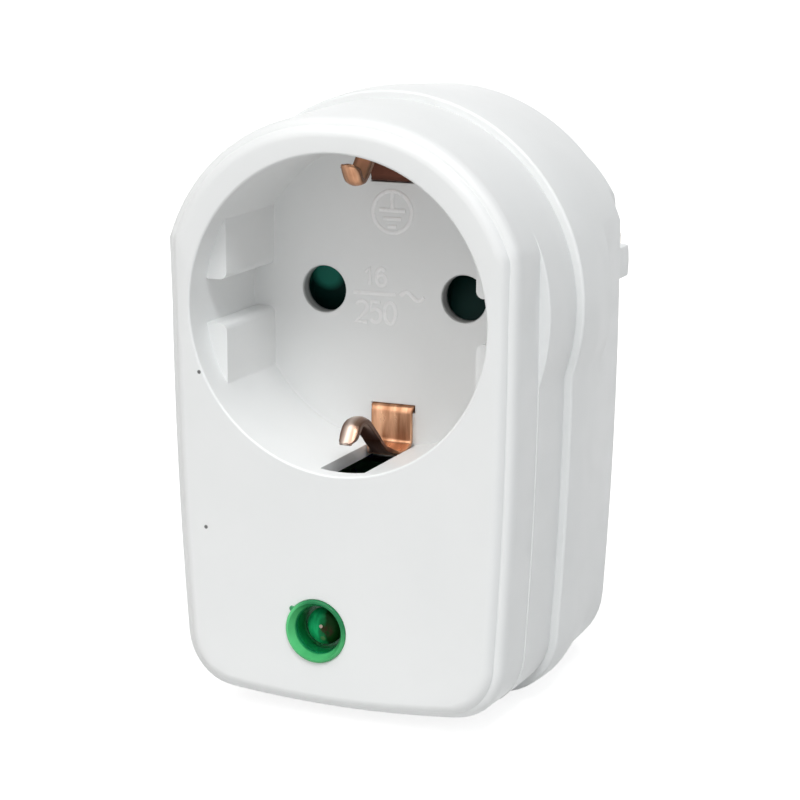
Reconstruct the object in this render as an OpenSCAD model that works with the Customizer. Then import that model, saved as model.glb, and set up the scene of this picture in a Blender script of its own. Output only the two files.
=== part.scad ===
// Surge protection adapter: a grounded plug with a grounded socket on its face.
// The origin is on the common axis of plug and socket, in the plane of the wall.
// +Z is up, the face looks along -Y and the plug points along +Y. Millimetres.

/* [Housing] */
// Depth of the housing, from its face to the wall
body_depth = 38; // [37:0.5:42]
// Depth of the front shell, from its face to the seam
front_depth = 17; // [16:0.5:19]
// Width of the face above the recess, just behind its rounded edge
arch_rim = 4.3; // [4:0.1:6.5]
// Width of the face beside the recess, just behind its rounded edge
side_rim = 2.95; // [2.5:0.05:3.8]
// Radius of the slight bow of each side
side_bow_r = 580; // [400:10:900]
// Height of the socket's axis above the bottom of the face
bottom_drop = 49.25; // [48:0.25:56]
// Radius of the slight bow of the bottom
bottom_bow_r = 112; // [90:1:300]
// Radius of the bottom corners
corner_r = 7; // [5:0.5:9]
// Growth of the bottom corners' radius at the back of the round band
tail_corner_growth = 1.6; // [0:0.2:2]
// Growth of the bottom corners' radius at the rear edge
rear_corner_growth = 0.6; // [0:0.2:1.6]
// Wall of the front shell
front_wall = 1.7; // [1.5:0.1:2]
// Thickness of the face
face_t = 2.2; // [1.8:0.1:3]
// Thickness of the rear wall
back_t = 2; // [1.6:0.1:2.6]
// Distance of the round band from the face and from the wall
band_inset = 10; // [8:0.5:12]
// Growth of the sides from the face to the seam, from their draft
front_growth = 0.8; // [0.5:0.1:1.2]
// Height of the step at the seam
seam_step = 0.7; // [0.4:0.1:1]
// Growth of the sides from the face to the widest line
crest_growth = 2; // [1.8:0.1:2.4]
// Growth of the sides from the face to the rear edge
rear_growth = 1.05; // [0.8:0.05:1.3]

/* [Socket] */
// Radius of the recess
recess_r = 19.4; // [19.3:0.1:19.6]
// Depth of the recess
recess_depth = 17.5; // [17:0.1:18]
// Thickness of the recess floor
floor_t = 2; // [1.6:0.1:2.4]
// Wall of the recess
cup_t = 1.6; // [1.2:0.1:1.7]
// Distance between the two pins
pin_spacing = 19; // [18.8:0.1:19.2]
// Radius of a pin hole
hole_r = 2.95; // [2.8:0.05:3.1]
// Distance of a guide block's face from the axis
guide_x = 16.45; // [16.3:0.05:17]
// Gap between the upper and the lower guide block
guide_gap = 5.5; // [5:0.1:6.4]
// Depth of the guide blocks' front ends below the face
guide_inset = 4.2; // [3.8:0.1:8]
// Radius of the guide blocks' corners at the gap
guide_corner = 0.9; // [0.4:0.1:1.2]

/* [Plug] */
// Radius of the plug body
plug_r = 18.6; // [18.2:0.1:18.7]
// Length of the plug body
plug_depth = 17; // [16.5:0.5:18]
// Distance of the plug's flat sides from the axis
plug_flat_x = 16.4; // [16.2:0.1:16.6]
// Width of the guide rib on each flat side
rib_w = 4.2; // [4:0.1:5]
// Wall of the plug body
plug_wall = 2; // [1.6:0.1:2.4]
// Radius of a plug pin
pin_r = 2.4; // [2:0.1:2.4]
// Length of a plug pin in front of the plug body
pin_len = 19; // [18:0.5:19.5]
// Length of a plug pin's rounded tip
pin_tip = 3.4; // [2.4:0.2:4]

/* [Shutter] */
// Radius of the shutter disc
shutter_r = 13.3; // [12.8:0.1:13.4]
// Thickness of the shutter disc
shutter_t = 3.2; // [2.8:0.1:3.6]
// Angle from closed to open
shutter_turn = 38; // [36:1:40]
// Radius of the post that the shutter turns on
post_r = 2.5; // [2.2:0.1:2.6]
// Wire of the shutter spring
spring_wire = 0.5; // [0.4:0.05:0.6]

/* [Contacts] */
// Thickness of the contact carrier
carrier_t = 2.2; // [1.8:0.1:2.6]
// Wall of a contact sleeve
sleeve_t = 0.7; // [0.6:0.1:0.9]
// Thickness of the earth straps
strap_t = 0.6; // [0.5:0.05:0.7]
// Width of the earth straps
strap_w = 5.5; // [5:0.1:6]
// Width of the tongue of an earth clip
tongue_w = 2.4; // [2.2:0.1:3]
// Distance of the upper earth clip's crest from the axis
upper_crest = 15.1; // [13:0.1:15.5]
// Distance of the lower earth clip's crest from the axis
lower_crest = 13.6; // [13:0.1:15]

/* [Protection circuit] */
// Width of the circuit board
board_w = 35; // [32:1:36]
// Thickness of the circuit board
board_t = 1.6; // [1:0.2:2]
// Radius of a varistor disc
varistor_r = 6; // [5:0.5:6.5]
// Thickness of a varistor disc
varistor_t = 4; // [3:0.5:4.5]
// Radius of an insulated wire
wire_r = 0.9; // [0.7:0.1:1.1]

/* [Indicator] */
// Distance of the indicator from the middle, to the right
lamp_x = -2.7; // [-3:0.1:0]
// Height of the indicator above the bottom of the face
lamp_rise = 10.05; // [9:0.05:12]
// Radius of the indicator window
lens_r = 4; // [3.6:0.1:4.2]
// Wall of the window's ring
lens_wall = 1.15; // [0.9:0.05:1.3]

/* [Screws] */
// Radius of a housing screw's shank
screw_r = 1.4; // [1.2:0.1:1.5]
// Distance of the housing screws from the middle
screw_x = 15; // [14.5:0.1:15.2]
// Height of the housing screws above the bottom of the face
screw_rise = 8.75; // [8:0.25:10]

/* [Hidden] */

// Play between pieces that are assembled, and between pieces that turn on each other
fit = 0.15;
running_fit = 0.06;
// Play between pieces that are pressed or screwed into each other
pressed = 0.02;
// Reach of a cut past the face that it opens
cut = 1;
$fn = 64;

// Depths along Y
face_y = -body_depth;
seam_y = face_y + front_depth;
floor_y = face_y + recess_depth;
floor_back_y = floor_y + floor_t;
shutter_y = floor_back_y + 2 * fit;
shutter_back_y = shutter_y + shutter_t;
carrier_y = shutter_back_y + 2 * fit;
carrier_back_y = carrier_y + carrier_t;
pin_x = pin_spacing / 2;
arch_r = recess_r + arch_rim;
side_x = recess_r + side_rim;
lamp_drop = bottom_drop - lamp_rise;
screw_drop = bottom_drop - screw_rise;

// Points on the parts of half an outline
arch_n = 24;
middle_n = 10;
side_n = 5;
corner_n = 10;
bottom_n = 4;

// The housing's outline: an arch, bowed sides, round corners and a bowed bottom.
// d moves the whole outline outwards. Roundness 1 keeps the arch's circle past the sides, 0 leaves it there.
function side_at(z, d) = side_x + d - pow(min(z, 0), 2) / (2 * side_bow_r);
function bottom_at(x, d) = x * x / (2 * bottom_bow_r) - bottom_drop - d;
bottom_lean = atan((side_at(corner_r - bottom_drop, 0) - corner_r) / bottom_bow_r);
side_lean = atan((bottom_drop - corner_r) / side_bow_r);
corner_turn = 90 - bottom_lean - side_lean;
function corner_height(d, rc) =
    bottom_at(side_at(rc - bottom_drop, d) - rc, d) + rc / cos(bottom_lean);

function half_outline(d, round, wider) =
    let (
        r = arch_r + d,
        top_a = acos((side_x + d) / r),
        top_z = r * sin(top_a),
        low_a = acos(side_at(-top_z, d) / r),
        low_z = -r * sin(low_a),
        rc = corner_r + d + wider,
        corner_z = corner_height(d, rc),
        corner_x = side_at(corner_z, d) - rc / cos(side_lean),
        side_end = corner_z - rc * sin(side_lean),
        bottom_end = corner_x + rc * sin(bottom_lean)
    )
    concat(
        [for (i = [0:arch_n - 1]) let (a = 90 - i * (90 - top_a) / arch_n) r * [cos(a), sin(a)]],
        [for (i = [0:middle_n])
            let (k = i / middle_n, a = top_a - k * (top_a + low_a), z = top_z + k * (low_z - top_z))
            round * r * [cos(a), sin(a)] + (1 - round) * [side_at(z, d), z]],
        [for (i = [1:side_n - 1]) let (z = low_z + i * (side_end - low_z) / side_n) [side_at(z, d), z]],
        [for (i = [0:corner_n])
            let (a = -side_lean - i * corner_turn / corner_n)
            [corner_x + rc * cos(a), corner_z + rc * sin(a)]],
        [for (i = [1:bottom_n]) let (x = bottom_end * (1 - i / bottom_n)) [x, bottom_at(x, d)]]
    );

function outline(d, round = 0, wider = 0) =
    let (half = half_outline(d, round, wider))
    concat(half, [for (i = [len(half) - 2:-1:1]) [-half[i][0], half[i][1]]]);

// Skin through a list of [y, offset, roundness, growth of the corners] outlines, from front to back
module loft(levels) {
    n = len(outline(0));
    last = len(levels) - 1;
    points = [for (l = levels) each [for (p = outline(l[1], l[2], l[3])) [p[0], l[0], p[1]]]];
    sides = [for (j = [0:last - 1]) each [for (i = [0:n - 1]) let (
        k = (i + 1) % n, a = j * n + i, b = j * n + k, c = a + n, e = b + n)
        each [[a, c, e], [a, e, b]]]];
    front = [for (i = [0:n - 1]) i];
    back = [for (i = [n - 1:-1:0]) last * n + i];
    polyhedron(concat(points), concat([front], sides, [back]), convexity = 6);
}

// A round bar along Y
module bar_y(r, y0, y1, x = 0, z = 0) {
    translate([x, y0, z]) rotate([-90, 0, 0]) cylinder(r = r, h = y1 - y0);
}

// A cone along Y
module cone_y(r0, r1, y0, y1, x = 0, z = 0) {
    translate([x, y0, z]) rotate([-90, 0, 0]) cylinder(r1 = r0, r2 = r1, h = y1 - y0);
}

// A flat shape drawn in X and Z, thick along Y
module plate_y(y0, y1) {
    translate([0, y1, 0]) rotate([90, 0, 0]) linear_extrude(y1 - y0) children();
}

// A flat shape drawn in Y and Z, wide along X
module wide_x(w, x = 0) {
    translate([x - w / 2, 0, 0]) rotate([90, 0, 90]) linear_extrude(w) children();
}

// A box between two corners
module block(a, b) {
    translate(a) cube(b - a);
}

// Copies at the left and at the right
module both_sides() {
    for (s = [-1, 1]) scale([s, 1, 1]) children();
}

// Copies at the top and at the bottom
module top_and_bottom() {
    for (s = [-1, 1]) scale([1, 1, s]) children();
}

// A path with its inner corners rounded to a list of radii
function turn_angle(a, b) = let (c = a * b / (norm(a) * norm(b))) acos(max(-1, min(1, c)));
function bent(path, radii, n = 5) = concat(
    [path[0]],
    [for (i = [1:len(path) - 2])
        let (
            a = (path[i] - path[i - 1]) / norm(path[i] - path[i - 1]),
            b = (path[i + 1] - path[i]) / norm(path[i + 1] - path[i]),
            turn = turn_angle(a, b),
            r = radii[i - 1],
            side = sign(a[0] * b[1] - a[1] * b[0]),
            start = path[i] - a * r * tan(turn / 2),
            centre = start + side * r * [-a[1], a[0]],
            from = start - centre
        )
        each [for (k = [0:n]) let (t = side * turn * k / n)
            centre + [from[0] * cos(t) - from[1] * sin(t), from[0] * sin(t) + from[1] * cos(t)]]],
    [path[len(path) - 1]]
);

// Outline of a strip of thickness t along a path
function strip(path, t) =
    let (
        last = len(path) - 1,
        dirs = [for (i = [0:last - 1]) (path[i + 1] - path[i]) / norm(path[i + 1] - path[i])],
        normals = [for (i = [0:last]) let (
            a = dirs[max(i - 1, 0)], b = dirs[min(i, last - 1)], m = (a + b) / norm(a + b))
            [-m[1], m[0]] / (m * a)]
    )
    concat(
        [for (i = [0:last]) path[i] + normals[i] * t / 2],
        [for (i = [last:-1:0]) path[i] - normals[i] * t / 2]
    );

// A round wire of radius r along points in space
function unit(v) = v / norm(v);
function carried(n, t) = unit(n - (n * t) * t);
function carried_all(ts, n, i = 0) =
    i == len(ts) ? [] : let (m = carried(n, ts[i])) concat([m], carried_all(ts, m, i + 1));
module wire(path, r, first_normal, sides = 8) {
    last = len(path) - 1;
    tangents = [for (i = [0:last]) unit(path[min(i + 1, last)] - path[max(i - 1, 0)])];
    normals = carried_all(tangents, first_normal);
    points = [for (i = [0:last]) each [for (k = [0:sides - 1]) let (a = 360 * k / sides)
        path[i] + r * (cos(a) * normals[i] + sin(a) * cross(tangents[i], normals[i]))]];
    skin = [for (i = [0:last - 1]) each [for (k = [0:sides - 1]) let (
        m = (k + 1) % sides, a = i * sides + k, b = i * sides + m)
        each [[a, a + sides, b + sides], [a, b + sides, b]]]];
    start = [for (k = [0:sides - 1]) k];
    end = [for (k = [sides - 1:-1:0]) last * sides + k];
    polyhedron(points, concat([start], skin, [end]), convexity = 6);
}

// Front shell

// The face's double rounded edge: a fillet, a small shoulder and a second fillet
edge = [[0, -2.5], [0.12, -1.95], [0.4, -1.5], [0.85, -1.2], [1.05, -1.15], [1.12, -0.85],
    [1.35, -0.45], [1.85, -0.15], [2.7, 0]];
rim_r = 0.8;
rebate_d = 1.6;
rebate_w = 1.2;
band_y = face_y + band_inset;
band_ledge = 0.1;
band_growth = front_growth * band_inset / front_depth;
slot_w = strap_w + 0.4;
slot_front_y = face_y + face_t;
clip_slot_z = 14;
clip_slot_t = strap_t + 0.4;
front_boss_r = 3.2;
screw_meet_y = seam_y + 1.8;
pilot_len = 9;
stop_r = 0.7;
stop_ring = shutter_r + 1.1;
lug_half = 4;
stop_a = shutter_turn / 2 + lug_half + 4;
carrier_screw_r = 17;
carrier_boss_r = 2.2;
carrier_pilot_r = 0.85;
cup_r = recess_r + cup_t;
tip_r = post_r - 0.7;

function front_levels() = concat(
    [for (e = edge) [face_y + e[0], e[1], 0, 0]],
    [[band_y, band_growth, 0, 0],
     [band_y + 0.02, band_growth + band_ledge, 0.7, 0],
     [band_y + 0.12, band_growth + band_ledge, 0.9, 0],
     [band_y + 0.3, band_growth + band_ledge, 0.98, 0],
     [band_y + 0.6, band_growth + band_ledge, 1, 0],
     [seam_y - 0.25, front_growth, 1, 0],
     [seam_y, front_growth - 0.15, 1, 0]]
);

module guide_blocks() {
    intersection() {
        bar_y(recess_r + cup_t / 2, face_y + guide_inset, floor_y + floor_t / 2);
        both_sides() top_and_bottom() plate_y(face_y + guide_inset, floor_back_y)
            translate([guide_x + guide_corner, guide_gap / 2 + guide_corner]) {
                circle(guide_corner, $fn = 32);
                translate([-guide_corner, 0]) square(recess_r);
                translate([0, -guide_corner]) square(recess_r);
            }
    }
}

// Cut that rounds the rim of the recess
module recess_rounding() {
    rotate([-90, 0, 0]) rotate_extrude() polygon(concat(
        [[recess_r - cut, face_y + rim_r], [recess_r - cut, face_y - cut], [recess_r + rim_r, face_y - cut]],
        [for (a = [0:18:90]) [recess_r + rim_r * (1 - sin(a)), face_y + rim_r * (1 - cos(a))]]
    ));
}

module at_carrier_screws() {
    for (a = [45:90:315]) translate([carrier_screw_r * cos(a), 0, carrier_screw_r * sin(a)]) children();
}

module front_shell() {
    color("white") {
        difference() {
            union() {
                difference() {
                    loft(front_levels());
                    plate_y(face_y + face_t, seam_y + cut) polygon(outline(-front_wall));
                    plate_y(seam_y - rebate_d, seam_y + cut) polygon(outline(rebate_w - front_wall));
                }
                bar_y(cup_r, face_y + face_t / 2, floor_back_y);
                both_sides() bar_y(front_boss_r, face_y + face_t / 2, screw_meet_y, screw_x, -screw_drop);
            }
            bar_y(recess_r, face_y - cut, floor_y);
            recess_rounding();
            both_sides() bar_y(hole_r, floor_y - cut, floor_back_y + cut, pin_x);
            both_sides() cone_y(hole_r + 0.5, hole_r, floor_y - 0.1, floor_y + 0.4, pin_x);
            top_and_bottom() {
                block([-slot_w / 2, slot_front_y, recess_r - cut], [slot_w / 2, floor_y, cup_r + cut]);
                block([-slot_w / 2, floor_y - cut, clip_slot_z], [slot_w / 2, floor_back_y + cut,
                    clip_slot_z + clip_slot_t]);
            }
            bar_y(lens_r, face_y - cut, face_y + face_t + cut, lamp_x, -lamp_drop);
            both_sides() bar_y(screw_r + pressed, screw_meet_y - pilot_len, screw_meet_y + cut, screw_x,
                -screw_drop);
        }
        guide_blocks();
        bar_y(post_r, floor_back_y - floor_t / 2, carrier_y);
        bar_y(tip_r, carrier_y - cut, carrier_back_y);
        difference() {
            at_carrier_screws() bar_y(carrier_boss_r, floor_back_y - floor_t / 2, carrier_y);
            at_carrier_screws() bar_y(carrier_pilot_r + pressed, floor_back_y, carrier_y + cut);
        }
        for (a = [-stop_a, stop_a])
            bar_y(stop_r, floor_back_y - floor_t / 2, shutter_back_y, stop_ring * cos(a), stop_ring * sin(a));
    }
}

// Rear shell

lip_growth = front_growth + seam_step + 0.3;
crest_depth = 5;
crest_y = seam_y + crest_depth;
tail_y = -band_inset;
tail_growth = crest_growth - (crest_growth - rear_growth) * (tail_y - crest_y) / (-crest_y);
rear_cavity = 0.4;
rim_y = seam_y + 3;
tongue_len = rebate_d - 0.1;
tongue_t = rebate_w - fit;
rear_boss_r = 3.6;
head_seat_y = -6;
head_hole_r = 3.1;
pillar_r = 4.6;
collar_y = 0.3;
collar_t = 1.2;
collar_r = 3.4;
plug_edge = 0.6;
root_r = 2.7;
strap_chord = plug_r - strap_t - 0.1;
strap_slot_w = strap_w + 0.3;
board_back_y = -12.4;
board_y = board_back_y - board_t;
peg_r = 0.9;
peg_seat_r = 1.6;
peg_x = 14.8;
peg_drop = 25.8;
foot_drop = bottom_drop - 5.85;
opening_r = plug_r - plug_wall;

function rear_levels() = [
    [seam_y, lip_growth - 0.4, 1, 0],
    [seam_y + 0.12, lip_growth - 0.15, 1, 0],
    [seam_y + 0.4, lip_growth, 1, 0],
    [crest_y - 1.4, crest_growth - 0.03, 1, 0],
    [crest_y - 0.5, crest_growth, 1, 0],
    [crest_y + 0.5, crest_growth - 0.01, 1, 0.1 * tail_corner_growth],
    [crest_y + 1.4, crest_growth - 0.05, 1, 0.25 * tail_corner_growth],
    [tail_y - 0.6, tail_growth + 0.035, 1, 0.95 * tail_corner_growth],
    [tail_y - 0.3, tail_growth + 0.015, 0.98, tail_corner_growth],
    [tail_y - 0.12, tail_growth, 0.9, tail_corner_growth],
    [tail_y - 0.02, tail_growth - 0.02, 0.7, tail_corner_growth],
    [tail_y, tail_growth - band_ledge, 0, tail_corner_growth],
    [-2, rear_growth, 0, rear_corner_growth],
    [-1, rear_growth - 0.3, 0, rear_corner_growth],
    [-0.3, rear_growth - 0.95, 0, rear_corner_growth],
    [0, rear_growth - 1.8, 0, rear_corner_growth]
];

// The plug body: a round post with flat sides, a guide rib on each and a bevelled front edge
module plug_body() {
    difference() {
        union() {
            bar_y(plug_r, -back_t, plug_depth - plug_edge);
            cone_y(plug_r, plug_r - plug_edge, plug_depth - plug_edge, plug_depth);
        }
        both_sides() top_and_bottom()
            block([plug_flat_x, 0, rib_w / 2], [plug_r + cut, plug_depth + cut, plug_r]);
        top_and_bottom() block([-strap_slot_w / 2, 0, strap_chord], [strap_slot_w / 2, plug_depth + cut,
            plug_r + cut]);
        top_and_bottom() block([-strap_slot_w / 2, plug_depth - 1.6, strap_chord - 2.6], [strap_slot_w / 2,
            plug_depth + cut, plug_r + cut]);
    }
}

module rear_shell() {
    color("white") difference() {
        union() {
            difference() {
                union() {
                    loft(rear_levels());
                    plate_y(seam_y - tongue_len, seam_y + 0.5) polygon(outline(tongue_t - front_wall));
                    plug_body();
                }
                plate_y(seam_y - tongue_len - cut, rim_y) polygon(outline(-front_wall));
                bar_y(cup_r + fit, seam_y - tongue_len - cut, rim_y);
                plate_y(rim_y - cut, -back_t) polygon(outline(-rear_cavity, 0, tail_corner_growth));
                intersection() {
                    bar_y(opening_r, -back_t - cut, plug_depth - plug_wall - plug_edge);
                    block([plug_wall - plug_flat_x, -back_t - cut, -strap_chord + plug_wall],
                        [plug_flat_x - plug_wall, plug_depth, strap_chord - plug_wall]);
                }
            }
            both_sides() {
                bar_y(pillar_r, collar_y + collar_t, plug_depth - 1, pin_x);
                bar_y(rear_boss_r, screw_meet_y + 0.2, -back_t / 2, screw_x, -screw_drop);
                bar_y(peg_seat_r, board_back_y, -back_t / 2, peg_x, -peg_drop);
                bar_y(peg_r, board_y - 0.8, -back_t / 2, peg_x, -peg_drop);
            }
            bar_y(peg_seat_r, board_back_y, -back_t / 2, 0, -foot_drop);
        }
        both_sides() {
            bar_y(root_r + pressed, 0, plug_depth + cut, pin_x);
            bar_y(screw_r + fit, seam_y, cut, screw_x, -screw_drop);
            bar_y(head_hole_r, head_seat_y, cut, screw_x, -screw_drop);
        }
        top_and_bottom() block([-strap_slot_w / 2, -back_t - cut, strap_chord],
            [strap_slot_w / 2, cut, strap_chord + strap_t + 0.3]);
    }
}

// Shutter

spring_pocket_r = 4.2;
spring_pocket_d = 1.9;
spring_r = post_r + 0.9;
spring_leg = 6.9;
leg_slot = spring_wire + 0.5;
ramp_len = 3.4;
ramp_d = 2.3;
lug_r = stop_ring + stop_r;

module shutter() {
    color("darkgreen") difference() {
        union() {
            bar_y(shutter_r, shutter_y, shutter_back_y);
            plate_y(shutter_y, shutter_back_y)
                polygon([for (a = [-lug_half, lug_half], r = [0, lug_r]) each a < 0
                    ? [(lug_r - r) * [cos(a + shutter_turn / 2), sin(a + shutter_turn / 2)]]
                    : [r * [cos(a + shutter_turn / 2), sin(a + shutter_turn / 2)]]]);
        }
        bar_y(post_r + running_fit, shutter_y - cut, shutter_back_y + cut);
        bar_y(spring_pocket_r, shutter_back_y - spring_pocket_d, shutter_back_y + cut);
        for (a = [0, 180]) rotate([0, a, 0]) {
            rotate([0, -shutter_turn, 0]) bar_y(hole_r, shutter_y - cut, shutter_back_y + cut, pin_x);
            translate([pin_x - hole_r, 0, 0]) wide_x(2 * hole_r, hole_r)
                polygon([[shutter_y, -ramp_len], [shutter_y + ramp_d, pin_x * sin(shutter_turn)],
                    [shutter_y - cut, pin_x * sin(shutter_turn)], [shutter_y - cut, -ramp_len]]);
        }
        rotate([0, 90, 0]) block([0, shutter_back_y - spring_pocket_d, -leg_slot / 2],
            [spring_leg + leg_slot / 2, shutter_back_y + cut, leg_slot / 2]);
    }
}

// The return spring: a coil round the post, one leg in the shutter and one in the carrier
spring_turns = 2.25;
spring_steps = 16;
spring_y0 = shutter_back_y - spring_pocket_d + spring_wire;
spring_pitch = 0.58;

function spring_path() = concat(
    [[0, spring_y0, -spring_leg]],
    [for (i = [0:ceil(spring_turns * spring_steps)]) let (a = 360 * i / spring_steps)
        [-spring_r * sin(a), spring_y0 + spring_pitch * i / spring_steps, -spring_r * cos(a)]],
    [[-spring_r, carrier_y + carrier_t / 2, 0]]
);

module shutter_spring() {
    color("silver") wire(spring_path(), spring_wire / 2, [0, 1, 0], 6);
}

// Contacts and their carrier

carrier_r = 19;
shroud_r = 4.4;
shroud_end_y = -3.6;
sleeve_in = pin_r - 0.05;
sleeve_out = sleeve_in + sleeve_t;
sleeve_y = carrier_back_y - 0.6;
sleeve_base_y = -0.9;
base_r = 3.3;
tail_r = 1.5;
tag_w = 3;
tag_end = 8.2;

module contact_carrier() {
    color("gainsboro") difference() {
        union() {
            bar_y(carrier_r, carrier_y, carrier_back_y);
            both_sides() bar_y(shroud_r, carrier_y, shroud_end_y, pin_x);
        }
        both_sides() {
            bar_y(sleeve_out + 0.1, sleeve_y, shroud_end_y + cut, pin_x);
            bar_y(hole_r, carrier_y - cut, sleeve_y + cut, pin_x);
        }
        bar_y(tip_r + 0.05, carrier_y - cut, carrier_back_y + cut);
        top_and_bottom() block([-slot_w / 2, carrier_y - cut, clip_slot_z],
            [slot_w / 2, carrier_back_y + cut, clip_slot_z + clip_slot_t]);
        at_carrier_screws() bar_y(carrier_pilot_r + fit, carrier_y - cut, carrier_back_y + cut);
        block([-spring_r - leg_slot / 2, carrier_y - cut, -leg_slot / 2],
            [leg_slot / 2 - spring_r, carrier_y + carrier_t / 2 + 0.2, leg_slot / 2]);
    }
}

// A spring sleeve for one pin, slit crosswise, with a base that the plug pin is riveted to
module contact_sleeve() {
    color("goldenrod") difference() {
        union() {
            bar_y(sleeve_out, sleeve_y, sleeve_base_y + 0.1, pin_x);
            bar_y(base_r, sleeve_base_y, collar_y, pin_x);
            block([pin_x - tag_w / 2, sleeve_base_y, -tag_end], [pin_x + tag_w / 2, sleeve_base_y + 0.6, 0]);
        }
        bar_y(sleeve_in, sleeve_y - cut, sleeve_base_y, pin_x);
        cone_y(sleeve_out - 0.1, sleeve_in, sleeve_y - 0.01, sleeve_y + 0.6, pin_x);
        bar_y(tail_r, sleeve_base_y - cut, collar_y + cut, pin_x);
        for (a = [0, 90]) translate([pin_x, 0, 0]) rotate([0, a, 0])
            block([-0.4, sleeve_y - cut, -base_r - cut], [0.4, sleeve_base_y - 2.5, base_r + cut]);
    }
}

// A turned plug pin: tip, shank, thicker root, collar and a tail that is riveted into the sleeve's base
module plug_pin() {
    color("silver") translate([pin_x, 0, 0]) rotate([-90, 0, 0]) rotate_extrude()
        polygon(concat(
            [[0, sleeve_base_y], [tail_r, sleeve_base_y], [tail_r, collar_y], [collar_r, collar_y],
             [collar_r, collar_y + collar_t], [root_r, collar_y + collar_t], [root_r, plug_depth],
             [pin_r, plug_depth]],
            [for (a = [0:10:90]) [pin_r * cos(a), plug_depth + pin_len - pin_tip * (1 - sin(a))]]
        ));
}

module line_contact() contact_sleeve();
module neutral_contact() scale([-1, 1, 1]) contact_sleeve();
module line_pin() plug_pin();
module neutral_pin() scale([-1, 1, 1]) plug_pin();

// Earth straps

clip_z = clip_slot_z + 0.2 + strap_t / 2;
bridge_y = carrier_back_y + 0.1 + strap_t / 2;
clip_floor_y = floor_y - 0.1 - strap_t / 2;
valley_z = recess_r + 0.4;
rivet_r = 1.5;

tip_y = face_y + 4;
tip_rise = 2.7;
taper_y = clip_floor_y - 1.6;

// Half of the socket strap, in Y and Z: bridge, leg through the floor, foot on the floor,
// valley in the wall slot, crest that touches the plug, and tip
function socket_strap_path(crest) = bent([[bridge_y, -0.01], [bridge_y, clip_z], [clip_floor_y, clip_z],
    [clip_floor_y, valley_z - 0.9], [clip_floor_y - 2.4, valley_z],
    [face_y + 10.4, crest + 3.6], [face_y + 6.4, crest - 0.6], [tip_y, crest + tip_rise]],
    [0.6, 0.6, 0.9, 0.9, 4, 1.2]);

// The strap from the front: full width on the floor, then a narrow tongue with a round end
function strap_shape() = concat(
    [[-strap_w, 0], [-strap_w, taper_y], [-strap_w / 2, taper_y], [-tongue_w / 2, taper_y - 2.6]],
    [for (a = [0:15:180]) [-tongue_w / 2 * cos(a), tip_y + 0.8 - 1.2 * sin(a)]],
    [[tongue_w / 2, taper_y - 2.6], [strap_w / 2, taper_y], [strap_w, taper_y], [strap_w, 0]]);

// What is cut from the corners of a tongue whose tip reaches up to z
module tongue_corners(z) {
    plate_y(tip_y - cut, tip_y + 3) difference() {
        translate([-strap_w, z - tongue_w / 2]) square(2 * strap_w);
        translate([0, z - tongue_w / 2]) circle(tongue_w / 2);
    }
}

module socket_earth_strap() {
    color("peru") intersection() {
        difference() {
            union() {
                wide_x(strap_w) polygon(strip(socket_strap_path(upper_crest), strap_t));
                scale([1, 1, -1]) wide_x(strap_w) polygon(strip(socket_strap_path(lower_crest), strap_t));
            }
            bar_y(rivet_r, bridge_y - cut, bridge_y + cut);
            tongue_corners(upper_crest + tip_rise);
            scale([1, 1, -1]) tongue_corners(lower_crest + tip_rise);
        }
        linear_extrude(2 * cup_r, center = true) polygon(strap_shape());
    }
}

plug_bridge_y = bridge_y + strap_t;
plug_strap_z = strap_chord + 0.05 + strap_t / 2;

function plug_strap_path() = bent([[plug_bridge_y, -0.01], [plug_bridge_y, plug_strap_z],
    [plug_depth - 1, plug_strap_z], [plug_depth - 0.6, plug_strap_z - 1.8]], [0.6, 0.6]);

module plug_earth_strap() {
    color("silver") difference() {
        top_and_bottom() wide_x(strap_w) polygon(strip(plug_strap_path(), strap_t));
        bar_y(rivet_r, plug_bridge_y - cut, plug_bridge_y + cut);
    }
}

module earth_rivet() {
    front = bridge_y - strap_t / 2;
    back = plug_bridge_y + strap_t / 2;
    color("silver") {
        bar_y(rivet_r, front, back + 0.1);
        cone_y(rivet_r + 1, rivet_r, back, back + 0.9);
    }
}

// Protection circuit

lead_r = 0.35;
lead_hole_r = 0.5;
axial_lead_r = 0.3;
lead_out = 0.9;
board_top = -23.5;
board_foot = 4.25 - bottom_drop;
notch_x = screw_x - rear_boss_r - 0.6;
notch_top = rear_boss_r + 0.6 - screw_drop;
varistor_z = -31;
varistor_y = board_y - 0.8 - varistor_r;
varistor_pitch = 5;
line_varistor_x = 11;
neutral_varistor_x = 5.4;
earth_varistor_x = -9.5;
gas_r = 4;
gas_len = 6;
gas_x = -3.2;
gas_z = -29;
fuse_r = 1.8;
fuse_len = 7;
fuse_x = 4.9;
fuse_z = 8.55 - bottom_drop;
resistor_r = 1.15;
resistor_len = 6.2;
resistor_x = -13.4;
resistor_z = -31.4;
lamp_r = 2.6;
lamp_len = 12;
lamp_front_y = face_y + face_t + 1.6;
tail_out = 1;
wire_hole = [[11.8, -25.2], [-8.5, -25.2], [4, -25.2]];

// Places of the leads on the board, as [x, z]
lead_places = concat(
    [for (x = [line_varistor_x, neutral_varistor_x, earth_varistor_x], s = [-1, 1])
        [x, varistor_z + s * varistor_pitch / 2]],
    [for (s = [-1, 1]) [gas_x + s * (gas_len / 2 + 0.5), gas_z]],
    [for (s = [-1, 1]) [fuse_x + s * (fuse_len / 2 + lead_out), fuse_z]],
    [for (s = [-1, 1]) [resistor_x, resistor_z + s * (resistor_len / 2 + lead_out)]],
    [for (s = [-1, 1]) [lamp_x + s * 1.2, -lamp_drop]]
);

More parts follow.
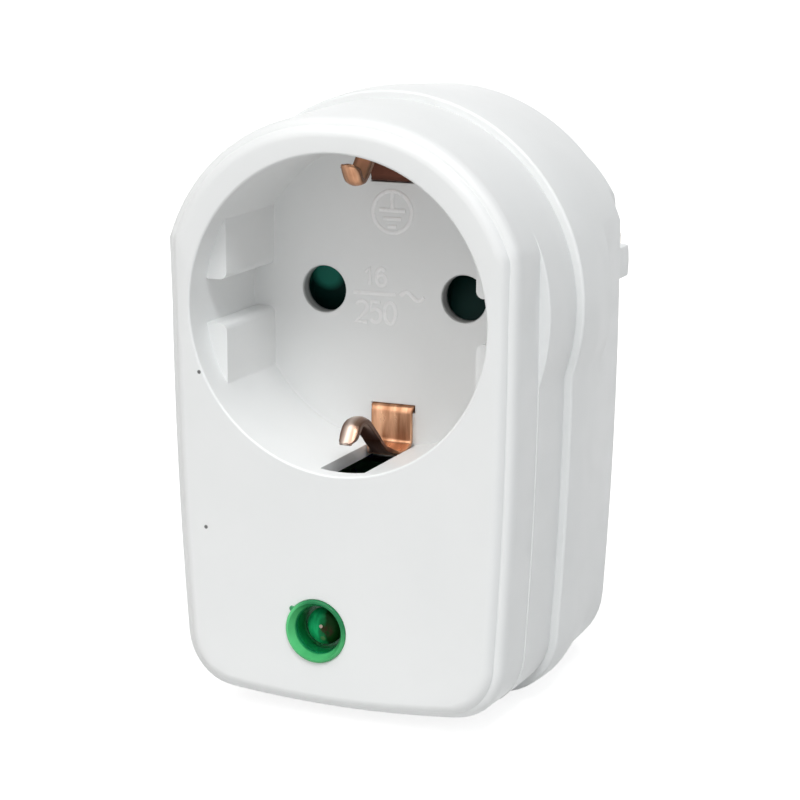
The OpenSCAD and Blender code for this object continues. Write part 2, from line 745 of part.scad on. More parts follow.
module circuit_board() {
    color("seagreen") difference() {
        plate_y(board_y, board_back_y) polygon([
            [-board_w / 2, board_top], [board_w / 2, board_top], [board_w / 2, notch_top],
            [notch_x, notch_top], [notch_x, board_foot], [-notch_x, board_foot], [-notch_x, notch_top],
            [-board_w / 2, notch_top]]);
        for (p = lead_places) bar_y(lead_hole_r, board_y - cut, board_back_y + cut, p[0], p[1]);
        for (p = wire_hole) bar_y(lead_hole_r, board_y - cut, board_back_y + cut, p[0], p[1]);
        both_sides() bar_y(peg_r + 0.1, board_y - cut, board_back_y + cut, peg_x, -peg_drop);
    }
}

// A lead from inside a component, through the board
module lead(x, y0, z) {
    bar_y(lead_r, y0, board_back_y + tail_out, x, z, $fn = 16);
}

// A coated disc with rounded rim, standing on its two leads
module varistor(x) {
    rim = 1.1;
    translate([x, varistor_y, varistor_z]) rotate([0, 90, 0]) rotate_extrude() polygon(concat(
        [[0, -varistor_t / 2]],
        [for (a = [-90:22.5:0]) [varistor_r - rim + rim * cos(a), rim - varistor_t / 2 + rim * sin(a)]],
        [for (a = [0:22.5:90]) [varistor_r - rim + rim * cos(a), varistor_t / 2 - rim + rim * sin(a)]],
        [[0, varistor_t / 2]]
    ));
    for (s = [-1, 1]) lead(x, varistor_y + varistor_r / 2, varistor_z + s * varistor_pitch / 2);
}

module line_varistor() color("royalblue") varistor(line_varistor_x);
module neutral_varistor() color("royalblue") varistor(neutral_varistor_x);
module earth_varistor() color("royalblue") varistor(earth_varistor_x);

// A body lying along X or Z with a lead bent down at each end
module axial_part(r, len, along_x) {
    rotate(along_x ? [0, 90, 0] : [0, 0, 0]) cylinder(r = r, h = len, center = true);
    rotate(along_x ? [0, 90, 0] : [0, 0, 0])
        cylinder(r = axial_lead_r, h = len + 2 * lead_out, center = true, $fn = 16);
}

module gas_tube() {
    y = board_y - 0.4 - gas_r;
    color("lightgray") {
        translate([gas_x, y, gas_z]) rotate([0, 90, 0]) cylinder(r = gas_r, h = gas_len, center = true);
        for (s = [-1, 1]) {
            translate([gas_x + s * gas_len / 2, y, gas_z]) rotate([0, s * 90, 0])
                cylinder(r = gas_r - 1, h = 0.5 + lead_r);
            lead(gas_x + s * (gas_len / 2 + 0.5), y, gas_z);
        }
    }
}

module thermal_fuse() {
    y = board_y - 0.5 - fuse_r;
    color("tan") {
        translate([fuse_x, y, fuse_z]) axial_part(fuse_r, fuse_len, true);
        for (s = [-1, 1]) lead(fuse_x + s * (fuse_len / 2 + lead_out), y - lead_r, fuse_z);
    }
}

module lamp_resistor() {
    y = board_y - 0.4 - resistor_r;
    color("lightblue") {
        translate([resistor_x, y, resistor_z]) axial_part(resistor_r, resistor_len, false);
        for (s = [-1, 1]) lead(resistor_x, y - lead_r, resistor_z + s * (resistor_len / 2 + lead_out));
    }
}

// The neon lamp: a glass bulb with a drawn round tip, on two leads
module neon_lamp() {
    color("lightsalmon") {
        translate([lamp_x, lamp_front_y, -lamp_drop]) rotate([-90, 0, 0]) rotate_extrude() polygon(concat(
            [for (a = [0:15:90]) [lamp_r * sin(a), lamp_r * (1 - cos(a))]],
            [[lamp_r, lamp_len], [0, lamp_len]]));
        for (s = [-1, 1]) lead(lamp_x + s * 1.2, lamp_front_y + lamp_len - cut, -lamp_drop);
    }
}

// Indicator window

lens_proud = 0.4;
lens_edge = 0.4;
web_y = face_y + 2.6;
web_t = 0.8;
flange_r = lens_r + 1.1;
lens_end_y = face_y + face_t + 2;

module indicator_lens() {
    color("limegreen") translate([lamp_x, 0, -lamp_drop]) difference() {
        union() {
            bar_y(lens_r - 0.05, face_y - lens_proud + lens_edge, lens_end_y);
            cone_y(lens_r - 0.05 - lens_edge, lens_r - 0.05, face_y - lens_proud,
                face_y - lens_proud + lens_edge);
            bar_y(flange_r, face_y + face_t + pressed, face_y + face_t + 1);
        }
        bar_y(lens_r - lens_wall, face_y - lens_proud - cut, web_y);
        bar_y(lens_r - lens_wall, web_y + web_t, lens_end_y + cut);
    }
}

// Wires

tag_y = sleeve_base_y - wire_r - 0.05;
end_y = board_back_y + 0.05;
line_wire_path = [[pin_x, tag_y, -6.2], [pin_x, tag_y, -9], [pin_x + 0.5, -3, -13], [10.8, -5.5, -17.5],
    [11.6, -8, -21.5], [11.8, -9.8, -24.2], [11.8, -11.2, -25.2], [11.8, end_y, -25.2]];
neutral_wire_path = [[-pin_x, tag_y, -6.2], [-pin_x, tag_y, -9], [-pin_x, -3, -13], [-9.5, -5.5, -17.5],
    [-9, -8, -21.5], [-8.5, -9.8, -24.2], [-8.5, -11.2, -25.2], [-8.5, end_y, -25.2]];
earth_y = plug_bridge_y + strap_t / 2 + wire_r + 0.05;
earth_wire_path = [[1.2, earth_y, -10], [1.6, earth_y, -13], [3.6, earth_y + 0.65, -16.5],
    [5, earth_y + 1.65, -20], [4.4, board_back_y + 3.2, -23.2], [4, board_back_y + 1.5, -25.2],
    [4, end_y, -25.2]];

module line_wire() color("saddlebrown") wire(line_wire_path, wire_r, [1, 0, 0]);
module neutral_wire() color("blue") wire(neutral_wire_path, wire_r, [1, 0, 0]);
module earth_wire() color("yellowgreen") wire(earth_wire_path, wire_r, [1, 0, 0]);

// Screws

head_r = 2.8;
head_t = 2;

// A pan head screw with a cross recess, its head towards the wall
module screw(x, z, r, head, seat_y, tip_y, t) {
    difference() {
        union() {
            bar_y(r, tip_y + r, seat_y + 0.1, x, z, $fn = 32);
            cone_y(0.2, r, tip_y, tip_y + r, x, z, $fn = 32);
            bar_y(head, seat_y, seat_y + t * 0.5, x, z, $fn = 32);
            cone_y(head, head * 0.6, seat_y + t * 0.5, seat_y + t, x, z, $fn = 32);
        }
        for (a = [0, 90]) translate([x, 0, z]) rotate([0, a, 0])
            block([-head * 0.12, seat_y + t * 0.4, -head * 0.5], [head * 0.12, seat_y + t + cut, head * 0.5]);
    }
}

module housing_screws() {
    color("silver") for (s = [-1, 1])
        screw(s * screw_x, -screw_drop, screw_r, head_r, head_seat_y, screw_meet_y - pilot_len + 1, head_t);
}

module carrier_screws() {
    color("silver") for (a = [45:90:315])
        screw(carrier_screw_r * cos(a), carrier_screw_r * sin(a), carrier_pilot_r, 1.7, carrier_back_y,
            floor_back_y + 0.4, 1.1);
}

front_shell();
rear_shell();
shutter();
shutter_spring();
contact_carrier();
carrier_screws();
line_contact();
neutral_contact();
line_pin();
neutral_pin();
socket_earth_strap();
plug_earth_strap();
earth_rivet();
circuit_board();
line_varistor();
neutral_varistor();
earth_varistor();
gas_tube();
thermal_fuse();
lamp_resistor();
neon_lamp();
indicator_lens();
line_wire();
neutral_wire();
earth_wire();
housing_screws();
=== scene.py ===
"""Looks of a surge protection adapter: finishes, fine relief, light and camera around its CAD frame.

Lengths in this script are millimetres in the part's frame. mm() or MM turns them into Blender's metres.
"""

import math

import bmesh
import bpy
from mathutils import Matrix, Vector


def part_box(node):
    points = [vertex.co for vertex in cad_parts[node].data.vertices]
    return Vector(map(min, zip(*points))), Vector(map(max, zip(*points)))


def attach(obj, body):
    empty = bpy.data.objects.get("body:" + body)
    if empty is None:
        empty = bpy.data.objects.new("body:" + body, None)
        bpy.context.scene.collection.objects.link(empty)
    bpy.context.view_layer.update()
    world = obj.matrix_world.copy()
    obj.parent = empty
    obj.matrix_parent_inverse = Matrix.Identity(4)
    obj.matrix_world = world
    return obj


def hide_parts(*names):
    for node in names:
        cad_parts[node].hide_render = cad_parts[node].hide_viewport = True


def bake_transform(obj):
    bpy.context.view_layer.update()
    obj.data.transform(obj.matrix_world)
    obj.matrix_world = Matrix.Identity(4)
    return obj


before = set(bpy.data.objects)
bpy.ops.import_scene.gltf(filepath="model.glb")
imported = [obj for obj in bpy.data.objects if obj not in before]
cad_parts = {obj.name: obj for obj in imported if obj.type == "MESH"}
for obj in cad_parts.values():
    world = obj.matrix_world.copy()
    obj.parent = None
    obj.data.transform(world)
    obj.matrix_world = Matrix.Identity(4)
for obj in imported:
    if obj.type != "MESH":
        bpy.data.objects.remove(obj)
bpy.context.view_layer.update()

# Driving sizes: from the frame, or as the CAD source has them

MM = 0.001
FACE_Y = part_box("front_shell")[0].y / MM
SHUTTER_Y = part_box("shutter")[0].y / MM
BOTTOM_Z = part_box("rear_shell")[0].z / MM
LENS = sum(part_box("indicator_lens"), Vector()) / 2 / MM
PIN_X = abs(sum(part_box("line_pin"), Vector()).x) / 2 / MM
HOLE_R = 2.95
RECESS_R = 19.4
RECESS_DEPTH = 17.5
FRONT_DEPTH = 17
BAND_INSET = 10
GUIDE_INSET = 4.2
WEB_INSET = 2.6

FLOOR_Y = FACE_Y + RECESS_DEPTH
SEAM_Y = FACE_Y + FRONT_DEPTH
BAND_Y = FACE_Y + BAND_INSET
TAIL_Y = -BAND_INSET
GUIDE_Y = FACE_Y + GUIDE_INSET
WEB_Y = FACE_Y + WEB_INSET


def mm(*values):
    return Vector(values) * MM


def share_between(value, start, end):
    """0 at start, 1 at end."""
    return min(1, max(0, (value - start) / (end - start)))


def direction(azimuth, elevation):
    """A unit vector from its degrees round from -Y towards +X and its degrees above the horizon."""
    a, e = math.radians(azimuth), math.radians(elevation)
    return Vector((math.sin(a) * math.cos(e), -math.cos(a) * math.cos(e), math.sin(e)))


def aim(thing, back):
    """Turns a camera or a lamp so that back points away from what it looks at."""
    thing.rotation_mode = "QUATERNION"
    thing.rotation_quaternion = (-back).to_track_quat("-Z", "Y")


def add_object(name, data):
    thing = bpy.data.objects.new(name, data)
    bpy.context.collection.objects.link(thing)
    return thing


# Camera: fitted to the photograph's pin holes, recess and outline

CAMERA_AZIMUTH = 23.52
CAMERA_ELEVATION = 12.43
CAMERA_TARGET = mm(2.02, -23.0, -12.86)
CAMERA_DISTANCE = 312.15 * MM
FOCAL_PIXELS = 2504.4
PHOTO_PIXELS = 800
SENSOR = 36


def make_camera():
    data = bpy.data.cameras.new("camera")
    data.sensor_width = SENSOR
    data.lens = FOCAL_PIXELS * SENSOR / PHOTO_PIXELS
    data.clip_start = 10 * MM
    data.clip_end = 20000 * MM
    camera = add_object("camera", data)
    back = direction(CAMERA_AZIMUTH, CAMERA_ELEVATION)
    camera.location = CAMERA_TARGET + back * CAMERA_DISTANCE
    aim(camera, back)
    bpy.context.scene.camera = camera


# Finishes


class Finish:
    """A procedural material: one Principled shader and the nodes that feed it."""

    def __init__(self, name, **values):
        self.material = bpy.data.materials.new(name)
        self.material.use_nodes = True
        self.tree = self.material.node_tree
        self.shader = self.tree.nodes["Principled BSDF"]
        for socket, value in values.items():
            self.shader.inputs[socket.replace("_", " ")].default_value = value
        self.place = self.tree.nodes.new("ShaderNodeTexCoord").outputs["Object"]

    def link(self, source, target):
        self.tree.links.new(source, target)

    def feed(self, socket, source):
        self.link(source, self.shader.inputs[socket])

    def noise(self, size, detail=3.0, stretch=(1, 1, 1)):
        """Noise whose features are about size millimetres, longer along the stretched axes."""
        mapping = self.tree.nodes.new("ShaderNodeMapping")
        mapping.inputs["Scale"].default_value = [1 / s for s in stretch]
        self.link(self.place, mapping.inputs["Vector"])
        noise = self.tree.nodes.new("ShaderNodeTexNoise")
        noise.inputs["Scale"].default_value = 1 / (size * MM)
        noise.inputs["Detail"].default_value = detail
        self.link(mapping.outputs["Vector"], noise.inputs["Vector"])
        return noise.outputs["Fac"]

    def between(self, factor, low, high, start=0.3, end=0.7):
        """A value that goes from low to high as factor goes from start to end."""
        node = self.tree.nodes.new("ShaderNodeMapRange")
        for socket, value in (("From Min", start), ("From Max", end), ("To Min", low), ("To Max", high)):
            node.inputs[socket].default_value = value
        self.link(factor, node.inputs["Value"])
        return node.outputs["Result"]

    def ramp(self, length, start, end, low=0, high=1):
        """A value that goes from low to high as a length goes from start to end millimetres."""
        return self.between(length, low, high, start * MM, end * MM)

    def colours(self, factor, first, second):
        """The first colour where factor is 0, the second where it is 1. Either may be a node's output."""
        node = self.tree.nodes.new("ShaderNodeMix")
        node.data_type = "RGBA"
        self.link(factor, node.inputs["Factor"])
        for socket, colour in ((node.inputs[6], first), (node.inputs[7], second)):
            if isinstance(colour, bpy.types.NodeSocket):
                self.link(colour, socket)
            else:
                socket.default_value = (*colour, 1)
        return node.outputs[2]

    def math(self, operation, a, b=0):
        node = self.tree.nodes.new("ShaderNodeMath")
        node.operation = operation
        for socket, value in zip(node.inputs, (a, b)):
            if isinstance(value, bpy.types.NodeSocket):
                self.link(value, socket)
            else:
                socket.default_value = value
        return node.outputs[0]

    def times(self, *values):
        """The product of two or more values."""
        product = values[0]
        for value in values[1:]:
            product = self.math("MULTIPLY", product, value)
        return product

    def near(self, point, radius, core=0.6):
        """1 in the core of a ball round a point in millimetres, fading to 0 at its radius."""
        node = self.tree.nodes.new("ShaderNodeVectorMath")
        node.operation = "DISTANCE"
        self.link(self.place, node.inputs[0])
        node.inputs[1].default_value = mm(*point)
        return self.ramp(node.outputs["Value"], core * radius, radius, 1, 0)

    def axes(self):
        """The three coordinates in metres."""
        node = self.tree.nodes.new("ShaderNodeSeparateXYZ")
        self.link(self.place, node.inputs[0])
        return node.outputs

    def off_axis(self, x, z):
        """Distance in metres from the line along Y through x and z."""
        flat = self.tree.nodes.new("ShaderNodeVectorMath")
        flat.operation = "MULTIPLY"
        self.link(self.place, flat.inputs[0])
        flat.inputs[1].default_value = (1, 0, 1)
        node = self.tree.nodes.new("ShaderNodeVectorMath")
        node.operation = "DISTANCE"
        self.link(flat.outputs[0], node.inputs[0])
        node.inputs[1].default_value = mm(x, 0, z)
        return node.outputs["Value"]

    def bump(self, height, depth):
        """Relief of about depth millimetres."""
        node = self.tree.nodes.new("ShaderNodeBump")
        node.inputs["Distance"].default_value = depth * MM
        self.link(height, node.inputs["Height"])
        self.feed("Normal", node.outputs["Normal"])


SPECKS = ((-18.2, -8.1), (-17.6, -27.6))
SPECK_R = 0.3


def casing_finish():
    """White moulded plastic with a fine satin grain, two specks of dirt on the face and painted shade down
    the pin holes' walls.
    """
    f = Finish("casing", IOR=1.5)
    shade = f.colours(f.between(f.noise(14), 0, 1), (0.87, 0.878, 0.876), (0.845, 0.856, 0.854))
    for x, z in SPECKS:
        shade = f.colours(f.near((x, FACE_Y, z), SPECK_R), shade, (0.12, 0.12, 0.12))
    f.feed("Base Color", shade_hole_walls(f, shade))
    f.feed("Roughness", f.between(f.noise(3), 0.36, 0.46))
    f.bump(f.noise(0.35, 2), 0.006)
    return f.material


def shade_hole_walls(f, shade):
    """The casing's colour, with painted shade on the pin holes' walls: grey at their front and near black
    at their back.
    """
    along = f.axes()[1]
    inside = f.ramp(along, FLOOR_Y + 0.1, FLOOR_Y + 0.6)
    deep = f.ramp(along, FLOOR_Y + 1.3, FLOOR_Y + 1.9)
    # Painted shade: grey near the holes' mouths, near black deeper in
    wall = f.colours(deep, (0.45, 0.45, 0.45), (0.012, 0.014, 0.014))
    for x in (-PIN_X, PIN_X):
        hole = f.ramp(f.off_axis(x, 0), HOLE_R + 0.1, HOLE_R + 0.2, 1, 0)
        shade = f.colours(f.times(inside, hole), shade, wall)
    return shade


def relief_finish():
    """The casing's plastic, smoother on the raised signs and paler there, as painted light for the light
    the strokes catch.
    """
    f = Finish("casing_relief", IOR=1.5)
    # Painted light: paler than the casing's plastic
    f.feed("Base Color", f.colours(f.between(f.noise(2), 0, 1), (0.97, 0.97, 0.97), (0.95, 0.95, 0.95)))
    f.feed("Roughness", f.between(f.noise(1), 0.25, 0.35))
    return f.material


def shutter_finish():
    """Dark green plastic, paler where light falls through the left pin hole."""
    f = Finish("shutter", IOR=1.5, Specular_IOR_Level=0.08)
    dark = f.colours(f.between(f.noise(5), 0, 1), (0.001, 0.014, 0.012), (0.002, 0.022, 0.018))
    lit = f.near((-PIN_X - 0.8, SHUTTER_Y, 1.4), 2.5)
    f.feed("Base Color", f.colours(lit, dark, (0.018, 0.17, 0.125)))
    f.feed("Roughness", f.between(f.noise(2), 0.4, 0.5))
    f.bump(f.noise(0.3, 2), 0.006)
    return f.material


def metal_finish(name, light, dark, size=1.5, stretch=(1, 1, 1), rough=(0.25, 0.4), grain=0.004):
    """Metal with tarnish that follows the way it was rolled or turned."""
    f = Finish(name, Metallic=1.0)
    f.feed("Base Color", f.colours(f.between(f.noise(size, 4, stretch), 0, 1), light, dark))
    f.feed("Roughness", f.between(f.noise(size / 2, 4, stretch), *rough))
    f.bump(f.noise(0.15, 3, stretch), grain)
    return f.material


# Where one stretch of the earth clips passes into the next, as the start and end of a soft change
CURL_END = (FACE_Y + 7.5, FACE_Y + 9)
TONGUE_END = (FACE_Y + 10, FACE_Y + 11.5)
LEG_END = (FACE_Y + 13.5, FACE_Y + 14.5)
FOOT_START = (FACE_Y + 14, FACE_Y + 15.5)
CREST_X = -0.15


def bronze_finish():
    """Copper alloy strip with rolling streaks, and painted light and shade on the stretches of the two
    clips: shadow on the upper foot, light on the upper leg, a highlight along the lower curl's crest,
    shade on the lower leg and on the tongues' edges.
    """
    f = Finish("earth_bronze", Metallic=0.8)
    across, along, up = f.axes()
    upper = f.ramp(up, 0, 1)
    lower = f.math("SUBTRACT", 1, upper)
    curl = f.ramp(along, *CURL_END, 1, 0)
    tongue = f.ramp(along, *TONGUE_END, 1, 0)
    leg = f.times(f.ramp(along, *CURL_END), f.ramp(along, *LEG_END, 1, 0))
    foot = f.ramp(along, *FOOT_START)
    upper_leg = f.times(leg, upper)

    off_crest = f.math("ABSOLUTE", f.math("SUBTRACT", across, CREST_X * MM))
    # Painted highlight: a pale strip along the lower curl's crest, dark brown to either side
    crest_highlight = f.colours(f.ramp(off_crest, 0.1, 0.75, 1, 0), (0.2, 0.13, 0.1), (0.62, 0.53, 0.47))
    streak = f.between(f.noise(1.2, 4, (1, 6, 6)), 0, 1, 0.35, 0.62)
    shade = f.colours(streak, (0.72, 0.4, 0.24), (0.36, 0.16, 0.08))
    # Painted shadow: the upper clip's foot darkened where the recess's top shades it
    shade = f.colours(f.times(foot, upper), shade, (0.07, 0.022, 0.012))
    # Painted light: the upper leg paler, and less metallic further down, standing in for light that
    # reaches it
    shade = f.colours(upper_leg, shade, (0.9, 0.42, 0.24))
    shade = f.colours(f.times(curl, lower, 0.85), shade, crest_highlight)
    # Painted shade: the lower leg near black
    shade = f.colours(f.times(leg, lower, 0.85), shade, (0.1, 0.036, 0.024))
    # Painted shade: the tongues darker towards their edges
    edge = f.ramp(f.math("ABSOLUTE", across), 0.7, 1.25, 0, 0.8)
    f.feed("Base Color", f.colours(f.times(edge, tongue), shade, (0.08, 0.035, 0.02)))

    f.feed("Metallic", f.between(upper_leg, 0.8, 0.2, 0, 1))
    f.feed("Roughness", f.between(f.noise(0.6, 4, (1, 6, 6)), 0.26, 0.44))
    f.bump(f.noise(0.25, 3, (1, 5, 5)), 0.012)
    return f.material


RING_R = 3.0
RIM_LEAN = 0.6


def window_finish():
    """Clear green plastic: the ring round the window gathers light, with painted light on its left and
    painted shade on its upper right; the hollow inside stays dark.
    """
    f = Finish("green_window", IOR=1.49, Specular_IOR_Level=0.1)
    across, along, up = f.axes()
    on_ring = f.ramp(f.off_axis(LENS.x, LENS.z), RING_R, RING_R + 0.12)
    # Painted light on the ring's left side, painted shade on its upper right
    left = f.ramp(across, LENS.x - 3.2, LENS.x - 1.5, 1, 0)
    lean = f.math("ADD", up, f.times(across, RIM_LEAN))
    middle = LENS.z + RIM_LEAN * LENS.x
    far_side = f.ramp(lean, middle + 1.0, middle + 3.4)
    ring = f.colours(f.between(f.noise(2.5), 0, 1), (0.1, 0.55, 0.2), (0.06, 0.42, 0.15))
    ring = f.colours(left, ring, (0.14, 0.7, 0.27))
    ring = f.colours(far_side, ring, (0.02, 0.22, 0.08))
    inside = f.colours(f.between(f.noise(1.2), 0, 1), (0.02, 0.5, 0.19), (0.006, 0.33, 0.11))
    f.feed("Base Color", f.colours(on_ring, inside, ring))
    f.feed("Transmission Weight", f.between(on_ring, 0.8, 0.15, 0, 1))
    f.feed("Roughness", f.between(f.noise(1), 0.18, 0.26))
    return f.material


# Where the painted reflection of the green window fades out, the electrodes, and a painted highlight
GREEN_SIDE = (-2.5, -1.3)
ELECTRODES = (-1.9, WEB_Y - 1.2, -39.4)
HIGHLIGHT_SPOT = (-2.45, WEB_Y - 1, -40.5)


def lamp_tip_finish():
    """The lamp's glass, with a painted reflection of the green window on one side, brown over the
    electrodes and a painted highlight beside them.
    """
    f = Finish("lamp_tip", IOR=1.5, Specular_IOR_Level=0.06)
    uneven = f.math("ADD", f.axes()[0], f.times(f.noise(0.8), 1.2 * MM))
    # Painted reflection: green on the side towards the window, near black on the other
    green = f.colours(f.between(f.noise(0.5, 2, (1, 1, 4)), 0, 1), (0.004, 0.28, 0.1), (0.02, 0.5, 0.18))
    shade = f.colours(f.ramp(uneven, *GREEN_SIDE), green, (0.004, 0.04, 0.006))
    brown = f.times(f.near(ELECTRODES, 1.0), f.between(f.noise(0.5), 0, 1, 0.35, 0.6))
    shade = f.colours(brown, shade, (0.035, 0.02, 0.008))
    # Painted highlight: a pale green spot
    f.feed("Base Color", f.colours(f.near(HIGHLIGHT_SPOT, 0.4), shade, (0.08, 0.22, 0.08)))
    f.feed("Roughness", f.between(f.noise(1), 0.25, 0.35))
    return f.material


def plain_finish(name, first, second, size=2.0, rough=(0.4, 0.55), grain=0.01):
    """Painted, moulded or extruded stuff in two close shades."""
    f = Finish(name, IOR=1.5)
    f.feed("Base Color", f.colours(f.between(f.noise(size), 0, 1), first, second))
    f.feed("Roughness", f.between(f.noise(size / 2), *rough))
    f.bump(f.noise(size / 8, 3), grain)
    return f.material


STRIPE_W = 1.8


def earth_insulation_finish():
    """Green wire with yellow stripes."""
    f = Finish("green_yellow_insulation", IOR=1.5)
    wave = f.tree.nodes.new("ShaderNodeTexWave")
    wave.bands_direction = "X"
    wave.inputs["Scale"].default_value = 0.3 / (STRIPE_W * MM)
    f.link(f.place, wave.inputs["Vector"])
    stripe = f.between(wave.outputs["Fac"], 0, 1, 0.48, 0.52)
    f.feed("Base Color", f.colours(stripe, (0.05, 0.3, 0.06), (0.75, 0.6, 0.04)))
    f.feed("Roughness", f.between(f.noise(1), 0.4, 0.5))
    return f.material


# Light and dark shade, then the size and stretch of the streaks and the roughness where they differ
METALS = {
    "steel": ((0.62, 0.62, 0.6), (0.45, 0.45, 0.44)),
    "contact_brass": ((0.85, 0.62, 0.28), (0.68, 0.46, 0.2)),
    "pin_plating": ((0.72, 0.7, 0.66), (0.6, 0.58, 0.54), 2, (1, 6, 1), (0.16, 0.28)),
}
PLAIN_STUFFS = {
    "carrier": ((0.55, 0.55, 0.52), (0.48, 0.48, 0.46)),
    "board": ((0.03, 0.16, 0.06), (0.02, 0.12, 0.05)),
    "varistor_coating": ((0.03, 0.1, 0.35), (0.02, 0.07, 0.27)),
    "tube_ceramic": ((0.7, 0.68, 0.64), (0.6, 0.58, 0.55)),
    "fuse_case": ((0.5, 0.36, 0.2), (0.42, 0.3, 0.17)),
    "resistor_coating": ((0.3, 0.5, 0.6), (0.24, 0.42, 0.52)),
    "lamp_glass": ((0.35, 0.2, 0.1), (0.3, 0.16, 0.08)),
    "brown_insulation": ((0.12, 0.05, 0.02), (0.1, 0.04, 0.02)),
    "blue_insulation": ((0.02, 0.08, 0.4), (0.02, 0.06, 0.33)),
}
FINISHES = {
    "casing": casing_finish(),
    "shutter": shutter_finish(),
    "earth_bronze": bronze_finish(),
    "green_window": window_finish(),
    "green_yellow_insulation": earth_insulation_finish(),
    **{name: metal_finish(name, *values) for name, values in METALS.items()},
    **{name: plain_finish(name, *shades) for name, shades in PLAIN_STUFFS.items()},
}


# Pieces

SHARP = math.radians(30)
SAME_POINT = 0.0002
SHELL_EDGE_R = 0.12
CLIP_EDGE_R = 0.14


def add_piece(name, mesh, body, slot, *nodes, finish=None):
    """A new piece that rides on a body and may stand for CAD nodes."""
    piece = add_object(name, mesh)
    mesh.materials.clear()
    mesh.materials.append(finish or FINISHES[slot])
    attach(piece, body)
    if nodes:
        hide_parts(*nodes)
    return piece


def shade_by_angle(mesh):
    """Smooth shading that breaks at sharp edges."""
    mesh.shade_smooth()
    mesh.set_sharp_from_angle(angle=SHARP)


def clean_copy(node):
    """A copy of a CAD node's mesh with its split corners merged."""
    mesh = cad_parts[node].data.copy()
    bm = bmesh.new()
    bm.from_mesh(mesh)
    bmesh.ops.remove_doubles(bm, verts=bm.verts[:], dist=SAME_POINT * MM)
    bm.to_mesh(mesh)
    bm.free()
    if "custom_normal" in mesh.attributes:
        mesh.attributes.remove(mesh.attributes["custom_normal"])
    shade_by_angle(mesh)
    return mesh


def arc(x, z, rx, rz, start, end, steps=24):
    """Points on an ellipse's arc, angles in degrees from the first axis towards the second."""
    angles = [math.radians(start + (end - start) * i / steps) for i in range(steps + 1)]
    return [(x + rx * math.cos(a), z + rz * math.sin(a)) for a in angles]


def revolved(name, profile, x, z, steps=48):
    """A surface turned round the line along Y through x and z, from (radius, y) points."""
    mesh = bpy.data.meshes.new(name)
    bm = bmesh.new()
    verts = [bm.verts.new(mm(x + r, y, z)) for r, y in profile]
    edges = [bm.edges.new(pair) for pair in zip(verts, verts[1:])]
    bmesh.ops.spin(
        bm, geom=verts + edges, cent=mm(x, 0, z), axis=(0, 1, 0),
        angle=math.tau, steps=steps, use_merge=True,
    )
    bmesh.ops.remove_doubles(bm, verts=bm.verts[:], dist=SAME_POINT * MM)
    bmesh.ops.recalc_face_normals(bm, faces=bm.faces[:])
    bm.to_mesh(mesh)
    bm.free()
    shade_by_angle(mesh)
    return mesh


LEDGE_LENGTH = 0.6
BAND_FORWARD = 2.0
LEDGES = (
    (BAND_Y - BAND_FORWARD - 0.1, BAND_Y - BAND_FORWARD + LEDGE_LENGTH + 0.1),
    (TAIL_Y - LEDGE_LENGTH - 0.1, TAIL_Y + 0.1),
)


def stays_sharp(x, y, z):
    """True on the shallow ledges round the casing and at the fronts of the guide blocks in the recess."""
    on_ledge = any(start < y < end for start, end in LEDGES)
    on_guide_front = abs(y - GUIDE_Y) < 0.05 and math.hypot(x, z) < RECESS_R
    return on_ledge or on_guide_front


def soften(piece, width, segments=2):
    """Rounds the sharp edges of a piece, as moulding or stamping leaves them."""
    mesh = piece.data
    weights = mesh.attributes.new("bevel_weight_edge", "FLOAT", "EDGE").data
    sharp = mesh.attributes["sharp_edge"].data
    for edge in mesh.edges:
        middle = sum((mesh.vertices[v].co for v in edge.vertices), Vector()) / 2 / MM
        weights[edge.index].value = sharp[edge.index].value and not stays_sharp(*middle)
    bevel = piece.modifiers.new("soft_edges", "BEVEL")
    bevel.width = width * MM
    bevel.segments = segments
    bevel.limit_method = "WEIGHT"
    bevel.use_clamp_overlap = False
    bevel.harden_normals = True
    normals = piece.modifiers.new("even_normals", "WEIGHTED_NORMAL")
    normals.keep_sharp = True


def dress_nodes():
    """Every CAD node gets the finish of its slot."""
    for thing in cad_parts.values():
        slot = thing.data.materials[0].name
        thing.data.materials[0] = FINISHES[slot.split(".")[0]]


# Front shell: what the photograph shows differently from the CAD

# A point counts as on a level or radius when it is this close to it
SLACK = 0.02
HOLE_CHAMFER = 0.4
HOLE_SHARPER = 0.35
RIM_R = 0.8
RIM_SHARPER = 0.3 / RIM_R
RIM_END_R = RECESS_R + RIM_R + 0.05
EDGE_DEPTH = 2.7
SIDE_WIDER = 0.5
SHOULDER_WIDER = 0.8
SHOULDER_ANGLE = 40
# The growth ends between these levels near the bottom, and is down to this share at the band
CORNER_TOP_Z = BOTTOM_Z + 4
CORNER_LOW_Z = BOTTOM_Z + 1.8
KEPT_AT_BAND = 0.3
FADE_END_Y = SEAM_Y - 1.8
BAND_LEDGE = 0.1
FLUSH_Z = (8, 10.5)
LENS_SURROUND_R = 6
MIDDLE_Z = -12.5


def sharper_hole(x, y, z):
    """Where a point on a pin hole's chamfer goes when the chamfer gets smaller."""
    from_pin = math.hypot(abs(x) - PIN_X, z)
    radius = HOLE_R + (from_pin - HOLE_R) * HOLE_SHARPER
    shift = radius / from_pin - 1
    new_x = x + (x - math.copysign(PIN_X, x)) * shift
    return mm(new_x, FLOOR_Y + (y - FLOOR_Y) * HOLE_SHARPER, z * (1 + shift))


def sharper_rim(x, y, z):
    """Where a point on the recess's rounded rim goes when the rounding gets smaller."""
    off_axis = math.hypot(x, z)
    radius = RECESS_R + (off_axis - RECESS_R) * RIM_SHARPER
    return mm(x * radius / off_axis, FACE_Y + (y - FACE_Y) * RIM_SHARPER, z * radius / off_axis)


